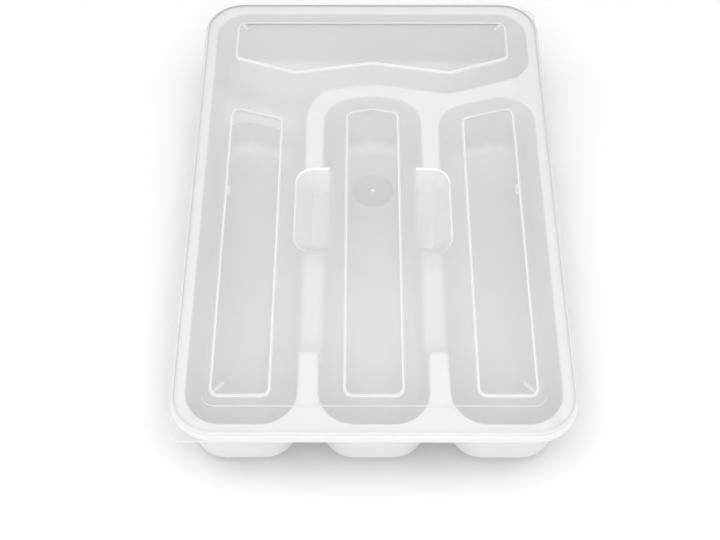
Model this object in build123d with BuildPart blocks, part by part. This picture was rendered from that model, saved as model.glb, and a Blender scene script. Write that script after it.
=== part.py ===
from build123d import *
from math import radians, sqrt, tan
import os

# A cutlery tray of white moulded plastic with a frosted lift-off lid.
# Sizes are in millimetres. X runs across, Y from front to back, Z up from the table.
# The origin is on the table, under the middle of the tray.

# Tray: outside, rim and wall
tray_width = 256.2
tray_length = 376.2
tray_height = 58.2
tray_corner = 27.1
wall = 1.8
wall_draft = 2.5
rim_margin = 8.3
front_margin = 7.5
rim_lip = 6.0
rim_edge_radius = 1.2

# Compartments: three long ones side by side and one across the back
middle_width = 70.6
ridge_width = 13.8
bay_corner = 23.0
bay_corner_top_share = 0.35
floor_radius = 9.0
back_bay_depth = 74.3
cross_ridge_width = 12.0
valley_x = 58.5
valley_drop = 11.5
ridge_end_rise = 6.5
valley_flare = 1.5
ridge_end_flare = 3.5

# Lowered stretches of the ridges
saddle_depth = 27.0
saddle_start = 57.6
saddle_back_gap = 73.0
saddle_end_radius = 10.0
saddle_end_lift = 0.3
saddle_foot_radius = 8.0
saddle_reach = 8.0
passage_depth = 28.0
passage_reach = 27.0
arch_run = 46.9
arch_rise = 6.0
crest_radius = 3.0
mouth_radius = 1.5

# Lid: outside, skirt and raised field
lid_wall = 1.5
lid_gap = 0.4
lid_skirt = 9.0
lid_edge_radius = 3.0
lid_seat_radius = 1.0
field_margin = 20.5
field_rise = 0.8
field_edge_radius = 0.4

# Lid: raised clear panels
panel_rise = 3.0
panel_width = 39.4
panel_front_gap = 16.6
panel_ridge_gap = 16.4
panel_side_gap = 15.1
panel_back_gap = 13.8
panel_corner = 6.5
panel_edge_radius = 0.8

# Lid: finger pockets
pocket_inner_x = 30.7
pocket_width = 24.5
pocket_length = 74.0
pocket_overhang = 1.5
pocket_depth = 12.5
pocket_corner = 13.0
pocket_foot_corner = 3.0

# Lid: moulding gate, lugs and lift tabs
gate_radius = 14.6
gate_dip = 1.2
gate_nub_radius = 1.2
gate_nub_height = 1.0
lug_length = 9.0
lug_width = 2.5
lug_height = 1.0
lug_corner_inset = 6.5
lug_side_inset = 3.1
tab_corner = 10.0
tab_thickness = 1.5

diagonal = 45
upright = 90
overrun = 1.0
tolerance = 0.05

# Places worked out from the sizes above
rim_z = tray_height
bay_right = tray_width / 2 - rim_margin
bay_back = tray_length / 2 - rim_margin
bay_front = front_margin - tray_length / 2
side_bay_left = middle_width / 2 + ridge_width
ridge_half = cross_ridge_width / 2
peak_y = bay_back - back_bay_depth - ridge_half
valley_y = peak_y - valley_drop
ridge_end_y = peak_y + ridge_end_rise
saddle_front_y = bay_front + saddle_start
saddle_back_y = peak_y - ridge_half - saddle_back_gap
ridge_x = middle_width / 2 + ridge_width / 2

lid_width = tray_width + 2 * (lid_gap + lid_wall)
lid_length = tray_length + 2 * (lid_gap + lid_wall)
lid_corner = tray_corner + lid_gap + lid_wall
lid_top_z = rim_z + lid_wall
skirt_z = lid_top_z - lid_skirt
field_top_z = lid_top_z + field_rise
panel_top_z = lid_top_z + panel_rise
panel_half = panel_width / 2
side_panel_x = bay_right - panel_side_gap - panel_half
panel_front_y = bay_front + panel_front_gap
panel_back_y = bay_back - panel_back_gap
pocket_back_y = saddle_back_y + pocket_overhang
pocket_y = pocket_back_y - pocket_length / 2
pocket_floor_z = field_top_z - pocket_depth


def side_line_y(x):
    """Middle of the cross ridge on its outer stretch, carried on past the valley."""
    share = (abs(x) - valley_x) / (bay_right - valley_x)
    return valley_y + share * (ridge_end_y - valley_y)


def middle_line_y(x):
    """Middle of the cross ridge between its two valleys."""
    return peak_y - abs(x) / valley_x * (peak_y - valley_y)


def long_outline(left, right, front, gap):
    """A lengthwise outline whose far end follows the cross ridge at a gap from its middle."""
    middle = left < 0 < right
    line_y = middle_line_y if middle else side_line_y
    peak = [(0, peak_y - gap)] if middle else []
    far_end = [(right, line_y(right) - gap), *peak, (left, line_y(left) - gap)]
    return [(left, front), (right, front), *far_end]


def back_outline(half_width, back, gap):
    """The outline across the back; its near side follows the cross ridge, which widens outwards."""
    end_gap = gap + ridge_end_flare
    valley_gap = gap + valley_flare
    side = [(half_width, side_line_y(half_width) + end_gap), (valley_x, valley_y + valley_gap)]
    mirrored = [(-x, y) for x, y in reversed(side)]
    return [(half_width, back), *side, (0, peak_y + gap), *mirrored, (-half_width, back)]


def bay_outlines():
    """The mouths of the four compartments at the rim, with sharp corners."""
    return [
        long_outline(-bay_right, -side_bay_left, bay_front, ridge_half),
        long_outline(-middle_width / 2, middle_width / 2, bay_front, ridge_half),
        long_outline(side_bay_left, bay_right, bay_front, ridge_half),
        back_outline(bay_right, bay_back, ridge_half),
    ]


def panel_outlines():
    """The four raised panels of the lid, one over each compartment."""
    gap = ridge_half + panel_ridge_gap
    outlines = [
        long_outline(x - panel_half, x + panel_half, panel_front_y, gap)
        for x in (-side_panel_x, 0, side_panel_x)
    ]
    half_width = bay_right - panel_side_gap
    return outlines + [back_outline(half_width, panel_back_y, gap)]


def draft_inset(depth):
    """How far a drafted wall has moved in at a depth below the rim."""
    return depth * tan(radians(wall_draft))


def bay_block(corners, grow, floor_z, top_z):
    """One compartment as a tapering block, grown outwards by the given wall."""
    inset = draft_inset(rim_z - floor_z)
    width = max(x for x, y in corners) - min(x for x, y in corners)
    corner = min(bay_corner, bay_corner_top_share * width)
    with BuildPart() as bay:
        with BuildSketch(Plane.XY.offset(floor_z)) as foot:
            with BuildLine():
                Polyline(*corners, close=True)
            make_face()
            offset(amount=grow - inset, kind=Kind.INTERSECTION, mode=Mode.REPLACE)
            fillet(foot.vertices(), corner + grow - inset)
        extrude(amount=top_z - floor_z, taper=-wall_draft)
        fillet(bay.edges().group_by(Axis.Z)[0], floor_radius + grow)
    return bay.part


def saddle_block(side, grow, top_z):
    """The lowered stretch of one lengthwise ridge, with rounded ends, grown by the given wall."""
    front = saddle_front_y - grow
    back = saddle_back_y + grow
    flare = 2 * saddle_end_radius
    shoulder_z = rim_z - grow + saddle_end_lift
    floor_z = rim_z - saddle_depth - grow
    with BuildPart() as saddle:
        with BuildSketch(Plane.YZ.offset(side * ridge_x)) as profile:
            with BuildLine():
                Polyline(
                    (front - flare, top_z),
                    (front - flare, shoulder_z),
                    (front, shoulder_z),
                    (front, floor_z),
                    (back, floor_z),
                    (back, shoulder_z),
                    (back + flare, shoulder_z),
                    (back + flare, top_z),
                    close=True,
                )
            make_face()
            levels = profile.vertices().group_by(Axis.Y)
            fillet(levels[0], saddle_foot_radius + grow)
            levels = profile.vertices().group_by(Axis.Y)
            fillet(levels[-2].sort_by(Axis.X)[1:3], saddle_end_radius - grow)
        extrude(amount=ridge_width / 2 + saddle_reach, both=True)
    return saddle.part


def passage_block(grow, top_z):
    """The lowered stretch between the left compartment and the back one."""
    floor_z = rim_z - passage_depth - grow
    inset = draft_inset(rim_z - floor_z)
    near_y = side_line_y(side_bay_left) - ridge_half - passage_reach
    far_y = peak_y + ridge_half + passage_reach
    arch_x = arch_run - side_bay_left
    arch_start_gap = ridge_half + valley_flare * side_bay_left / valley_x
    corners = [
        (-bay_right, near_y),
        (-side_bay_left, near_y),
        (-side_bay_left, middle_line_y(side_bay_left) + arch_start_gap),
        (arch_x, middle_line_y(arch_x) + ridge_half + arch_rise),
        (arch_x, far_y),
        (-bay_right, far_y),
    ]
    with BuildPart() as passage:
        with BuildSketch(Plane.XY.offset(floor_z)) as foot:
            with BuildLine():
                Polyline(*corners, close=True)
            make_face()
            offset(amount=grow - inset, kind=Kind.INTERSECTION, mode=Mode.REPLACE)
            arch = foot.vertices().sort_by_distance((-side_bay_left, middle_line_y(side_bay_left)))[0]
            fillet(arch, bay_corner + ridge_width - grow + inset)
        extrude(amount=top_z - floor_z, taper=-wall_draft)
    return passage.part


def basin(grow, floor_z, top_z):
    """All that the compartments hold, joined where the ridges are lowered."""
    with BuildPart() as joined:
        for corners in bay_outlines():
            add(bay_block(corners, grow, floor_z, top_z))
        for side in (-1, 1):
            add(saddle_block(side, grow, top_z))
        add(passage_block(grow, top_z))
    return joined.part


def saddle_crests(solid):
    """The long edges where the lowered ridges meet the compartments."""
    crest_z = rim_z - saddle_depth
    return [
        edge
        for edge in solid.edges()
        if abs(edge.center().Z - crest_z) < tolerance and edge.length > (saddle_back_y - saddle_front_y) / 2
    ]


def mouth_edges(solid):
    """The edges of the compartments' mouths that lie in the rim's flat top."""
    found = []
    for edge in solid.edges().filter_by_position(Axis.Z, rim_z - tolerance, rim_z + tolerance):
        box = edge.bounding_box()
        if max(-box.min.X, box.max.X) < bay_right + tolerance and -box.min.Y < tolerance - bay_front:
            found.append(edge)
    return found


def rounded_block(width, length, corner, bottom_z, top_z, edge_radius=0):
    """An upright block with rounded corners, and a rounded top edge where one is given."""
    with BuildPart() as block:
        with BuildSketch(Plane.XY.offset(bottom_z)):
            RectangleRounded(width, length, corner)
        extrude(amount=top_z - bottom_z)
        if edge_radius:
            fillet(block.faces().sort_by(Axis.Z)[-1].edges(), edge_radius)
    return block.part


def panel_block(shrink, bottom_z, top_z, edge_radius=0):
    """The four raised panels of the lid, shrunk by the given wall."""
    with BuildPart() as panels:
        with BuildSketch(Plane.XY.offset(bottom_z)) as foot:
            for corners in panel_outlines():
                with BuildLine():
                    Polyline(*corners, close=True)
                make_face()
            if shrink:
                offset(amount=-shrink, kind=Kind.INTERSECTION, mode=Mode.REPLACE)
            fillet(foot.vertices(), panel_corner - shrink)
        extrude(amount=top_z - bottom_z)
        if edge_radius:
            fillet(panels.edges().group_by(Axis.Z)[-1], edge_radius)
    return panels.part


def pocket_block(side, grow):
    """One finger pocket: upright on its inner side, sloping in on the other three."""
    slope_grow = grow * sqrt(2)
    levels = [
        (field_top_z, 0, slope_grow, pocket_corner),
        (pocket_floor_z - grow, pocket_depth, slope_grow - grow, pocket_foot_corner),
    ]
    with BuildPart() as pocket:
        for level_z, inset, spread, corner in levels:
            near_x = pocket_inner_x - grow
            far_x = pocket_inner_x + pocket_width - inset + spread
            middle_x = side * (near_x + far_x) / 2
            with BuildSketch(Plane((middle_x, pocket_y, level_z))) as outline:
                Rectangle(far_x - near_x, pocket_length - 2 * inset + 2 * spread)
                far_side = outline.vertices().group_by(Axis.X)[-1 if side > 0 else 0]
                fillet(far_side, corner + spread)
        loft(ruled=True)
    return pocket.part


def gate_dish(top_z):
    """The shallow round dip over the moulding gate."""
    with BuildPart() as dish:
        with BuildSketch(Plane.XZ):
            with BuildLine():
                edge = (gate_radius, top_z)
                bottom = (0, top_z - gate_dip)
                TangentArc(bottom, edge, tangent=(1, 0))
                Polyline(edge, (0, top_z), bottom)
            make_face()
        revolve(axis=Axis.Z)
    return dish.part


def lug_places():
    """Where the six lugs stand on the outer panels: x, y and the angle of each."""
    outer_x = side_panel_x + panel_half
    corner_x = outer_x - lug_corner_inset
    places = []
    for side in (-1, 1):
        places.append((side * corner_x, panel_front_y + lug_corner_inset, -side * diagonal))
        places.append((side * corner_x, panel_back_y - lug_corner_inset, side * diagonal))
        places.append((side * (outer_x - lug_side_inset), 0, upright))
    return places


def tray_hollow():
    """The space inside the lid that the tray's rim fills, with the lid's clearance."""
    width = tray_width + 2 * lid_gap
    length = tray_length + 2 * lid_gap
    return rounded_block(width, length, tray_corner + lid_gap, skirt_z, rim_z, lid_seat_radius)


def field_block(shrink, top_z, edge_radius=0):
    """The raised field inside the lid's flat rim."""
    margin = field_margin + shrink
    width = lid_width - 2 * margin
    length = lid_length - 2 * margin
    return rounded_block(width, length, lid_corner - margin, rim_z, top_z, edge_radius)


# The space inside the tray, with the crests of the lowered ridges rounded over
with BuildPart() as tray_inside:
    add(basin(0, wall, rim_z + overrun))
    fillet(saddle_crests(tray_inside), crest_radius)

# The tray: one thin skin, hollow under its ridges, with a short lip round the rim
with BuildPart() as tray:
    lip_z = rim_z - rim_lip
    add(rounded_block(tray_width, tray_length, tray_corner, lip_z, rim_z, rim_edge_radius))
    inside = (tray_width - 2 * wall, tray_length - 2 * wall, tray_corner - wall)
    add(rounded_block(*inside, lip_z, rim_z - wall), mode=Mode.SUBTRACT)
    add(basin(wall, 0, rim_z))
    add(tray_inside.part, mode=Mode.SUBTRACT)
    fillet(mouth_edges(tray), mouth_radius)

# The lid: a thin cover with a skirt, lift tabs, a raised field, panels and finger pockets
with BuildPart() as lid:
    add(rounded_block(lid_width, lid_length, lid_corner, skirt_z, lid_top_z, lid_edge_radius))
    for side in (-1, 1):
        corner = (side * (lid_width - lid_corner) / 2, side * (lid_length - lid_corner) / 2)
        with BuildSketch(Plane((*corner, skirt_z))) as tab:
            Rectangle(lid_corner, lid_corner)
            fillet(tab.vertices().sort_by(Axis((0, 0, 0), (side, side, 0)))[-1], tab_corner)
        extrude(amount=tab_thickness)
    add(field_block(0, field_top_z, field_edge_radius))
    add(panel_block(0, rim_z, panel_top_z, panel_edge_radius))
    add(tray_hollow(), mode=Mode.SUBTRACT)
    add(field_block(lid_wall, field_top_z - lid_wall), mode=Mode.SUBTRACT)
    add(panel_block(lid_wall, rim_z, panel_top_z - lid_wall), mode=Mode.SUBTRACT)
    for side in (-1, 1):
        add(pocket_block(side, lid_wall))
        add(pocket_block(side, 0), mode=Mode.SUBTRACT)
    add(gate_dish(panel_top_z - lid_wall + tolerance))
    add(gate_dish(panel_top_z), mode=Mode.SUBTRACT)
    with BuildSketch(Plane.XY.offset(panel_top_z - gate_dip)):
        Circle(gate_nub_radius)
    extrude(amount=gate_nub_height)
    with BuildSketch(Plane.XY.offset(panel_top_z)):
        for x, y, angle in lug_places():
            with Locations(Location((x, y), angle)):
                SlotOverall(lug_length, lug_width)
    extrude(amount=lug_height)

tray.part.label = "tray"
lid.part.label = "lid"

os.makedirs("parts", exist_ok=True)
export_step(tray.part, "parts/tray.step")
export_step(lid.part, "parts/lid.step")
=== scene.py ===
from contextlib import contextmanager
from math import pi, radians

import bmesh
import bpy
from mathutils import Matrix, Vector


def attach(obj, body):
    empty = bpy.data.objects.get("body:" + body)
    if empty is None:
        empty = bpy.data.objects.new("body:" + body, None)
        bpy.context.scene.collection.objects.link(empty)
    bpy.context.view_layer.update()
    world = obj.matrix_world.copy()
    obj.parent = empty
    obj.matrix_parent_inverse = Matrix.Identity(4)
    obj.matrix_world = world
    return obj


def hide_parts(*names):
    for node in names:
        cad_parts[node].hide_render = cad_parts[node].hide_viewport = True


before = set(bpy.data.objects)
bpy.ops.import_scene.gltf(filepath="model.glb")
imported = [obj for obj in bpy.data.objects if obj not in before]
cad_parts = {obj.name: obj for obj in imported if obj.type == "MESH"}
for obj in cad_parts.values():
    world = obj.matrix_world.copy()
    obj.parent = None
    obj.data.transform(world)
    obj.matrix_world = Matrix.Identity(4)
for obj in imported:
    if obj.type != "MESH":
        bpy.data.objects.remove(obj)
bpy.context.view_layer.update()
scene = bpy.context.scene

MM = 0.001

# Camera, in metres and in pixels of the photograph
PHOTO_WIDTH_PX = 720
PITCH = radians(56)
YAW = radians(0.064)
FOCAL_PX = 1211
SENSOR_MM = 36
CLIP_START = 0.05
CAMERA_ABOVE_RIM = 679.4 * MM
CAMERA_TO_MIDDLE = 524.2 * MM
CAMERA_TO_LEFT = 8.5 * MM

# Levels and places on the lid that tell its surfaces apart, in metres
TRAY_HEIGHT = 58.2 * MM
LID_WALL = 1.5 * MM
RIM_TOP = TRAY_HEIGHT + LID_WALL
FIELD_RISE = 0.8 * MM
FIELD_TOP = RIM_TOP + FIELD_RISE
PANEL_RISE = 3 * MM
PANEL_TOP = RIM_TOP + PANEL_RISE
PANEL_EDGE = 1.0 * MM
POCKET_LIP = 1.2 * MM
HAIR = 0.05 * MM
FIELD_HALF_WIDTH = 109.5 * MM
FIELD_HALF_LENGTH = 169.5 * MM
FIELD_FRONT = 160 * MM
POCKET_X = (28.5 * MM, 58 * MM)
POCKET_Y = (-56 * MM, 26 * MM)
GATE_RADIUS = 14.6 * MM
GATE_DEPTH = 1.3 * MM
NUB_RADIUS = 2.0 * MM

# How far a face's normal points up: 0 on a wall, 1 on a flat top
STEEP = 0.5
SLOPING = 0.9
NEARLY_FLAT = 0.97
FLAT = 0.99
LEVEL = 0.999
FACING_BACK = 0.3  # the same along y

# The lid's materials, in the order in which dress_lid adds them
FROSTED, CLEAR, EDGES_AND_HIGHLIGHTS, POCKETS, RIM, DISH_PAINTED_SHADE = range(6)

# Cleaning of the CAD meshes' shading
WELD_DISTANCE = 0.002 * MM
SMOOTH_ANGLE = radians(32)
FACE_AREA_WEIGHT = 50

# Moulded plastic: scales of its noises, and the grain's scale and strength
NOISE_RANGE = (0.3, 0.7)
CLOUD_SCALE = 14
WIDE_CLOUD_SCALE = 5
ALPHA_SCALE = 30
FINE_GRAIN = (2600, 0.12)
GLOSSY_GRAIN = (900, 0.02)
GRAIN_DETAIL = 3
GRAIN_DEPTH = 0.05 * MM

# How the frosted plastic blurs what is under it, and how much shadow light it lets through
FROST_ROUGHNESS = 0.42
FROST_IOR = 1.2
FROST_SHARE = 0.85
HAZE_SHARE = 0.15
SHADOW_PASS = 0.75

# The floor, the contact shadow painted into its colour, and the light
FLOOR_HALF = 6
FLOOR_WHITE = 0.95
FLOOR_GLOW = 0.14
SHADOW_REACH = 50 * MM
SHADOW_SAMPLES = 16
SHADOW_OPENNESS = (0.45, 0.95)
SHADOW_TONES = (0.54, FLOOR_WHITE)
LAMP_SIDE = 1.5


def add_camera():
    """The photograph's view: from the front, looking down."""
    data = bpy.data.cameras.new("camera")
    data.sensor_width = SENSOR_MM
    data.lens = FOCAL_PX * SENSOR_MM / PHOTO_WIDTH_PX
    data.clip_start = CLIP_START
    camera = bpy.data.objects.new("camera", data)
    camera.location = (-CAMERA_TO_LEFT, -CAMERA_TO_MIDDLE, RIM_TOP + CAMERA_ABOVE_RIM)
    camera.rotation_euler = (radians(90) - PITCH, 0, YAW)
    scene.collection.objects.link(camera)
    scene.camera = camera


def grey(level):
    return (level, level, level, 1)


class Nodes:
    """Short names for building a material's node tree."""

    def __init__(self, name):
        self.material = bpy.data.materials.new(name)
        self.material.use_nodes = True
        self.tree = self.material.node_tree
        self.tree.nodes.clear()
        self.place = self.add("ShaderNodeTexCoord").outputs["Object"]

    def add(self, kind, **settings):
        node = self.tree.nodes.new(kind)
        for name, value in settings.items():
            setattr(node, name, value)
        return node

    def link(self, source, target):
        self.tree.links.new(source, target)

    def math(self, operation, first, second):
        node = self.add("ShaderNodeMath", operation=operation)
        for socket, value in zip(node.inputs, (first, second)):
            if isinstance(value, (int, float)):
                socket.default_value = value
            else:
                self.link(value, socket)
        return node.outputs[0]

    def noise(self, scale, detail=2):
        node = self.add("ShaderNodeTexNoise")
        node.inputs["Scale"].default_value = scale
        node.inputs["Detail"].default_value = detail
        self.link(self.place, node.inputs["Vector"])
        return node.outputs["Fac"]

    def between(self, factor, low, high, source=NOISE_RANGE):
        """A value that runs from low to high as the factor runs over the source range."""
        node = self.add("ShaderNodeMapRange")
        for name, value in zip(("From Min", "From Max", "To Min", "To Max"), (*source, low, high)):
            node.inputs[name].default_value = value
        self.link(factor, node.inputs["Value"])
        return node.outputs["Result"]

    def greys(self, factor, low, high):
        node = self.add("ShaderNodeMix", data_type="RGBA")
        self.link(factor, node.inputs["Factor"])
        node.inputs[6].default_value = grey(low)
        node.inputs[7].default_value = grey(high)
        return node.outputs[2]

    def bump(self, height, strength):
        node = self.add("ShaderNodeBump")
        node.inputs["Strength"].default_value = strength
        node.inputs["Distance"].default_value = GRAIN_DEPTH
        self.link(height, node.inputs["Height"])
        return node.outputs["Normal"]

    def moulded(self, colours, roughness, alpha, grain, cloud_scale):
        """Plastic that is slightly cloudy, with a fine grain."""
        cloud = self.noise(cloud_scale)
        shader = self.add("ShaderNodeBsdfPrincipled")
        self.link(self.greys(cloud, *colours), shader.inputs["Base Color"])
        self.link(self.between(cloud, *roughness), shader.inputs["Roughness"])
        if alpha:
            self.link(self.between(self.noise(ALPHA_SCALE), *alpha), shader.inputs["Alpha"])
        scale, strength = grain
        height = self.noise(scale, GRAIN_DETAIL)
        self.link(self.bump(height, strength), shader.inputs["Normal"])
        return shader.outputs[0]

    def diffuse(self, level):
        node = self.add("ShaderNodeBsdfDiffuse")
        node.inputs["Color"].default_value = grey(level)
        return node.outputs[0]

    def mix(self, share, first, second):
        """The first shader, with a share of the second."""
        node = self.add("ShaderNodeMixShader")
        for socket, source in zip(node.inputs, (share, first, second)):
            self.link(source, socket)
        return node.outputs[0]

    def finish(self, shader):
        output = self.add("ShaderNodeOutputMaterial")
        self.link(shader, output.inputs["Surface"])
        return self.material


def plastic(name, colours, roughness, alpha=None, grain=FINE_GRAIN, cloud_scale=CLOUD_SCALE):
    """Moulded plastic, see-through where an alpha is given."""
    nodes = Nodes(name)
    return nodes.finish(nodes.moulded(colours, roughness, alpha, grain, cloud_scale))


def frosted(name):
    """The lid's frosted plastic: what lies under it looks the softer the deeper it is.

    Shadow and diffuse rays don't meet the blur, but plain see-through plastic. The haze is on the
    outer faces alone, so that a wall's two sides don't add it twice.
    """
    nodes = Nodes(name)
    surface = nodes.moulded((0.93, 0.95), (0.4, 0.5), (0.12, 0.14), FINE_GRAIN, CLOUD_SCALE)
    blur = nodes.add("ShaderNodeBsdfRefraction")
    blur.inputs["Color"].default_value = grey(1)
    blur.inputs["Roughness"].default_value = FROST_ROUGHNESS
    blur.inputs["IOR"].default_value = FROST_IOR
    inside = nodes.add("ShaderNodeNewGeometry").outputs["Backfacing"]
    haze_share = nodes.math("MULTIPLY", nodes.math("SUBTRACT", 1, inside), HAZE_SHARE)
    veiled = nodes.mix(haze_share, blur.outputs[0], nodes.diffuse(0.95))
    path = nodes.add("ShaderNodeLightPath")
    lit = nodes.math("MAXIMUM", path.outputs["Is Shadow Ray"], path.outputs["Is Diffuse Ray"])
    frost_share = nodes.math("MULTIPLY", nodes.math("SUBTRACT", 1, lit), FROST_SHARE)
    mixed = nodes.mix(frost_share, surface, veiled)
    let_through = nodes.math("MULTIPLY", path.outputs["Is Shadow Ray"], SHADOW_PASS)
    clear = nodes.add("ShaderNodeBsdfTransparent").outputs[0]
    return nodes.finish(nodes.mix(let_through, mixed, clear))


def floor_white():
    """A white table whose colour an ambient-occlusion node darkens near the tray, a painted
    contact shadow over the one the lamps cast, and which looks plain white beyond it.
    """
    nodes = Nodes("floor_white")
    near = nodes.add("ShaderNodeAmbientOcclusion", samples=SHADOW_SAMPLES)
    near.inputs["Distance"].default_value = SHADOW_REACH
    # Painted contact shadow: the floor's colour runs darker where the tray hides the floor from
    # the light
    painted_shadow_tone = nodes.between(near.outputs["AO"], *SHADOW_TONES, source=SHADOW_OPENNESS)
    shaded = nodes.add("ShaderNodeBsdfDiffuse")
    nodes.link(painted_shadow_tone, shaded.inputs["Color"])
    glow = nodes.add("ShaderNodeEmission")
    glow.inputs["Strength"].default_value = FLOOR_GLOW
    both = nodes.add("ShaderNodeAddShader")
    nodes.link(shaded.outputs[0], both.inputs[0])
    nodes.link(glow.outputs[0], both.inputs[1])
    path = nodes.add("ShaderNodeLightPath")
    seen = nodes.math("MAXIMUM", path.outputs["Is Camera Ray"], path.outputs["Is Glossy Ray"])
    seen = nodes.math("MAXIMUM", seen, path.outputs["Is Transmission Ray"])
    return nodes.finish(nodes.mix(seen, nodes.diffuse(FLOOR_WHITE), both.outputs[0]))


def add_floor():
    sides = ((-1, -1), (1, -1), (1, 1), (-1, 1))
    corners = [(x * FLOOR_HALF, y * FLOOR_HALF, 0) for x, y in sides]
    mesh = bpy.data.meshes.new("floor")
    mesh.from_pydata(corners, [], [(0, 1, 2, 3)])
    floor = bpy.data.objects.new("floor", mesh)
    mesh.materials.append(floor_white())
    scene.collection.objects.link(floor)


def add_world(strength):
    world = bpy.data.worlds.new("world")
    world.use_nodes = True
    background = world.node_tree.nodes["Background"]
    background.inputs["Color"].default_value = grey(1)
    background.inputs["Strength"].default_value = strength
    scene.world = world


def add_lamp(name, place, radiance):
    """A square softbox that faces the tray."""
    data = bpy.data.lights.new(name, "AREA")
    data.shape = "SQUARE"
    data.size = LAMP_SIDE
    data.energy = radiance * pi * LAMP_SIDE * LAMP_SIDE
    lamp = bpy.data.objects.new(name, data)
    lamp.location = place
    lamp.rotation_euler = Vector(place).to_track_quat("Z", "Y").to_euler()
    scene.collection.objects.link(lamp)


@contextmanager
def mesh_edit(mesh):
    """The mesh as a bmesh, which is written back at the end."""
    work = bmesh.new()
    work.from_mesh(mesh)
    yield work
    work.to_mesh(mesh)
    work.free()


def smooth_copy(node, name):
    """A copy of a CAD node's mesh with clean shading: flat faces flat, roundings smooth."""
    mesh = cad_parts[node].data.copy()
    mesh.name = name
    custom = mesh.attributes.get("custom_normal")
    if custom:
        mesh.attributes.remove(custom)
    with mesh_edit(mesh) as work:
        bmesh.ops.remove_doubles(work, verts=work.verts, dist=WELD_DISTANCE)
        for face in work.faces:
            face.smooth = True
    mesh.set_sharp_from_angle(angle=SMOOTH_ANGLE)
    piece = bpy.data.objects.new(name, mesh)
    scene.collection.objects.link(piece)
    weighted = piece.modifiers.new("weighted", "WEIGHTED_NORMAL")
    weighted.keep_sharp = True
    weighted.weight = FACE_AREA_WEIGHT
    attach(piece, node)
    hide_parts(node)
    return piece


def lid_surface(mesh, face):
    """Which of the lid's materials a face has."""
    x, y, z = face.center
    up = abs(face.normal.z)
    heights = [mesh.vertices[corner].co.z for corner in face.vertices]
    if abs(x) > FIELD_HALF_WIDTH or abs(y) > FIELD_HALF_LENGTH:
        if up < STEEP and z < RIM_TOP - HAIR:
            return EDGES_AND_HIGHLIGHTS
        return RIM if up < FLAT else FROSTED
    if POCKET_X[0] < abs(x) < POCKET_X[1] and POCKET_Y[0] < y < POCKET_Y[1]:
        return POCKETS
    from_gate = (x * x + y * y) ** 0.5
    if from_gate < GATE_RADIUS:
        # The nub is opaque white, a painted highlight
        return EDGES_AND_HIGHLIGHTS if from_gate < NUB_RADIUS else DISH_PAINTED_SHADE
    if max(heights) > PANEL_TOP + HAIR:
        return POCKETS
    if z > FIELD_TOP + HAIR:
        if up > NEARLY_FLAT or min(heights) < FIELD_TOP - HAIR:
            return CLEAR
        # A panel's sides are opaque white, partly the plastic seen edge-on and partly a painted
        # highlight where they catch the light; steep sides facing back get the paler pocket
        # plastic
        return POCKETS if face.normal.y > FACING_BACK and up < STEEP else EDGES_AND_HIGHLIGHTS
    if up < SLOPING:
        return POCKETS if y < -FIELD_FRONT else CLEAR
    return FROSTED


def on_panel_top(face):
    """Whether a face lies in a panel's flat top, or on the lug or gate that stands in it."""
    middle = face.calc_center_median()
    highest = max(corner.co.z for corner in face.verts)
    if middle.z > PANEL_TOP + HAIR or highest > PANEL_TOP + HAIR:
        return True
    if middle.xy.length < GATE_RADIUS and middle.z > PANEL_TOP - GATE_DEPTH:
        return True
    return face.normal.z > LEVEL and abs(middle.z - PANEL_TOP) < HAIR


def paint_panel_edge_highlights(mesh):
    """Gives the raised panels' top faces a narrow white border, a painted highlight along the
    panels' edges.
    """
    with mesh_edit(mesh) as work:
        tops = [face for face in work.faces if on_panel_top(face)]
        border = bmesh.ops.inset_region(
            work, faces=tops, thickness=PANEL_EDGE, use_even_offset=True, use_boundary=True
        )
        for face in border["faces"]:
            face.material_index = EDGES_AND_HIGHLIGHTS


def pocket_faces(work):
    """The finger pockets' faces below the field, each with the height of its middle."""
    for face in work.faces:
        height = face.calc_center_median().z
        if face.material_index == POCKETS and height < FIELD_TOP:
            yield face, height


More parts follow.
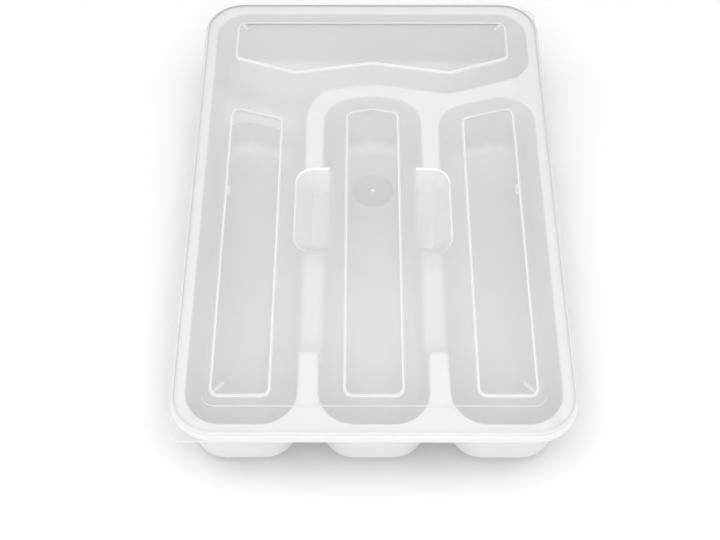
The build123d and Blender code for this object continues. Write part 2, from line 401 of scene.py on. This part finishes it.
def paint_pocket_lip_highlights(mesh):
    """Gives the tops of the finger pockets' walls a narrow white band, a painted highlight along
    the pockets' lips.
    """
    foot = FIELD_TOP - POCKET_LIP
    with mesh_edit(mesh) as work:
        faces = [face for face, _ in pocket_faces(work)]
        edges = {edge for face in faces for edge in face.edges}
        corners = {corner for face in faces for corner in face.verts}
        bmesh.ops.bisect_plane(
            work,
            geom=faces + list(edges) + list(corners),
            dist=HAIR / 100,
            plane_co=(0, 0, foot),
            plane_no=(0, 0, 1),
        )
        for face, height in pocket_faces(work):
            if height > foot and abs(face.normal.z) < SLOPING:
                face.material_index = EDGES_AND_HIGHLIGHTS


def dress_tray():
    tray = smooth_copy("tray", "tray_moulding")
    tray.data.materials.clear()
    tray.data.materials.append(
        plastic("tray_plastic", (0.87, 0.89), (0.3, 0.34), cloud_scale=WIDE_CLOUD_SCALE)
    )


def dress_lid():
    lid = smooth_copy("lid", "lid_cover")
    mesh = lid.data
    mesh.materials.clear()
    for material in (
        frosted("lid_frosted"),
        plastic("lid_clear", (0.93, 0.95), (0.1, 0.14), (0.03, 0.05), GLOSSY_GRAIN),
        # Opaque white: the skirt's own plastic, and a painted highlight on the panels' borders,
        # the pockets' lips and the nub
        plastic("lid_edges_and_highlights", (0.97, 0.99), (0.3, 0.4), (0.97, 1), GLOSSY_GRAIN),
        plastic("lid_pockets", (0.95, 0.97), (0.3, 0.4), (0.45, 0.5)),
        # The rim's roundings: whiter and nearly opaque, a painted highlight along the rim's edge
        # that also hides the dark gap behind it
        plastic("lid_rim", (0.96, 0.98), (0.4, 0.5), (0.78, 0.82), cloud_scale=WIDE_CLOUD_SCALE),
        # The gate's dish: a darker see-through grey, painted shade that the shallow dish takes in
        # the light
        plastic("lid_dish_painted_shade", (0.5, 0.55), (0.1, 0.14), (0.07, 0.1), GLOSSY_GRAIN),
    ):
        mesh.materials.append(material)
    for face in mesh.polygons:
        face.material_index = lid_surface(mesh, face)
    paint_panel_edge_highlights(mesh)
    paint_pocket_lip_highlights(mesh)


add_camera()
add_world(0.27)
add_lamp("softbox_high", (0, -0.7, 1.3), radiance=1.3)
add_lamp("softbox_front", (0, -1.4, 0.7), radiance=0.67)
add_lamp("softbox_back", (0, 1.4, 0.7), radiance=0.55)
add_lamp("softbox_left", (-1.2, 0, 0.9), radiance=1.04)
add_lamp("softbox_right", (1.2, 0, 0.9), radiance=0.98)
add_floor()
dress_tray()
dress_lid()
scene.view_settings.view_transform = "Standard"
